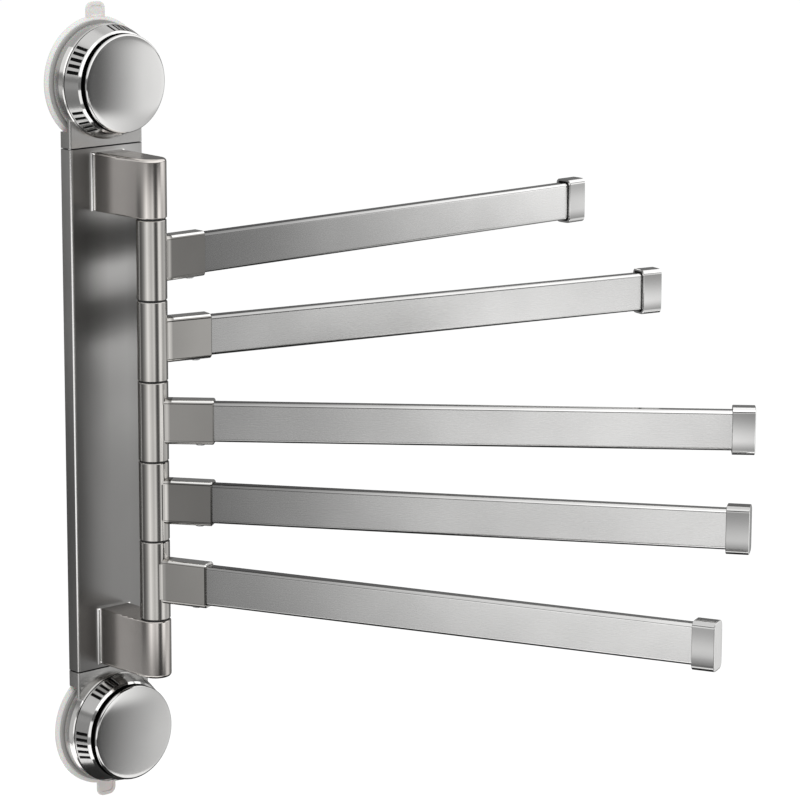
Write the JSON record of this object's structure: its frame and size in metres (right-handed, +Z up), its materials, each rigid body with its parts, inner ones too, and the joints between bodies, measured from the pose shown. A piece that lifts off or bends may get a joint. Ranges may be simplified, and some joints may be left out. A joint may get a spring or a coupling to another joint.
{
  "type": "swing arm towel bar",
  "caption": "Wall-hung towel rack with swinging rectangular bars on one upright spindle, a channel backplate and a twist-lock suction cup at each end.",
  "frame": {"origin": "middle of the upper suction cup's wall face", "axes": "+X right along the wall, +Y into the wall, +Z up; the bars are in front of the wall at -Y"},
  "size_m": [0.4063, 0.3921, 0.5044],
  "materials": {
    "plate_metal": "satin",
    "housing": "satin metallic paint",
    "cup": "milky",
    "pressure_ring": "satin",
    "nylon": "plain",
    "steel": "zinc plated",
    "knob": "satin chrome",
    "face_disc": "bright",
    "casting": "satin",
    "bar": "satin",
    "end_cap": "bright",
    "rivet": "plain"
  },
  "bodies": {
    "frame": {"back_plate": "plate_metal", "upper_end_housing": "housing", "lower_end_housing": "housing", "upper_suction_cup": "cup", "lower_suction_cup": "cup", "upper_pressure_ring": "pressure_ring", "lower_pressure_ring": "pressure_ring", "upper_slip_washer": "nylon", "lower_slip_washer": "nylon", "upper_bracket": "casting", "lower_bracket": "casting", "bracket_screws": "steel", "spindle": "steel", "thrust_washers": "nylon"},
    "upper_knob_body": {"upper_knob": "knob", "upper_face_disc": "face_disc"},
    "lower_knob_body": {"lower_knob": "knob", "lower_face_disc": "face_disc"},
    "upper_stud_body": {"upper_cup_stud": "steel"},
    "lower_stud_body": {"lower_cup_stud": "steel"},
    "arm_1": {"arm_1_hub": "casting", "arm_1_bar": "bar", "arm_1_cap": "end_cap", "arm_1_bushes": "nylon", "arm_1_rivet": "rivet"},
    "arm_2": {"arm_2_hub": "casting", "arm_2_bar": "bar", "arm_2_cap": "end_cap", "arm_2_bushes": "nylon", "arm_2_rivet": "rivet"},
    "arm_3": {"arm_3_hub": "casting", "arm_3_bar": "bar", "arm_3_cap": "end_cap", "arm_3_bushes": "nylon", "arm_3_rivet": "rivet"},
    "arm_4": {"arm_4_hub": "casting", "arm_4_bar": "bar", "arm_4_cap": "end_cap", "arm_4_bushes": "nylon", "arm_4_rivet": "rivet"},
    "arm_5": {"arm_5_hub": "casting", "arm_5_bar": "bar", "arm_5_cap": "end_cap", "arm_5_bushes": "nylon", "arm_5_rivet": "rivet"}
  },
  "joints": [
    {"name": "arm_1_swing", "type": "hinge", "parent": "frame", "child": "arm_1", "pos_m": [0, -0.0536, -0.1046], "axis": [0, 0, 1], "range_deg": [-185.4, 4.6]},
    {"name": "arm_2_swing", "type": "hinge", "parent": "frame", "child": "arm_2", "pos_m": [0, -0.0536, -0.1546], "axis": [0, 0, 1], "range_deg": [-172.4, 17.6]},
    {"name": "arm_3_swing", "type": "hinge", "parent": "frame", "child": "arm_3", "pos_m": [0, -0.0536, -0.2046], "axis": [0, 0, 1], "range_deg": [-139.3, 50.7]},
    {"name": "arm_4_swing", "type": "hinge", "parent": "frame", "child": "arm_4", "pos_m": [0, -0.0536, -0.2546], "axis": [0, 0, 1], "range_deg": [-131.6, 58.4]},
    {"name": "arm_5_swing", "type": "hinge", "parent": "frame", "child": "arm_5", "pos_m": [0, -0.0536, -0.3046], "axis": [0, 0, 1], "range_deg": [-118.8, 71.2]},
    {"name": "upper_knob_turn", "type": "hinge", "parent": "frame", "child": "upper_knob_body", "pos_m": [0, -0.0143, 0], "axis": [0, 1, 0], "range_deg": [0, 240]},
    {"name": "upper_stud_slide", "type": "slide", "parent": "frame", "child": "upper_stud_body", "axis": [0, -1, 0], "range_m": [0, 0.00267]},
    {"name": "lower_knob_turn", "type": "hinge", "parent": "frame", "child": "lower_knob_body", "pos_m": [0, -0.0143, -0.4092], "axis": [0, 1, 0], "range_deg": [0, 240]},
    {"name": "lower_stud_slide", "type": "slide", "parent": "frame", "child": "lower_stud_body", "axis": [0, -1, 0], "range_m": [0, 0.00267]}
  ],
  "couplings": [
    {"joint": "upper_stud_slide", "follows": "upper_knob_turn", "m_per_rad": 0.00063662},
    {"joint": "lower_stud_slide", "follows": "lower_knob_turn", "m_per_rad": 0.00063662}
  ]
}
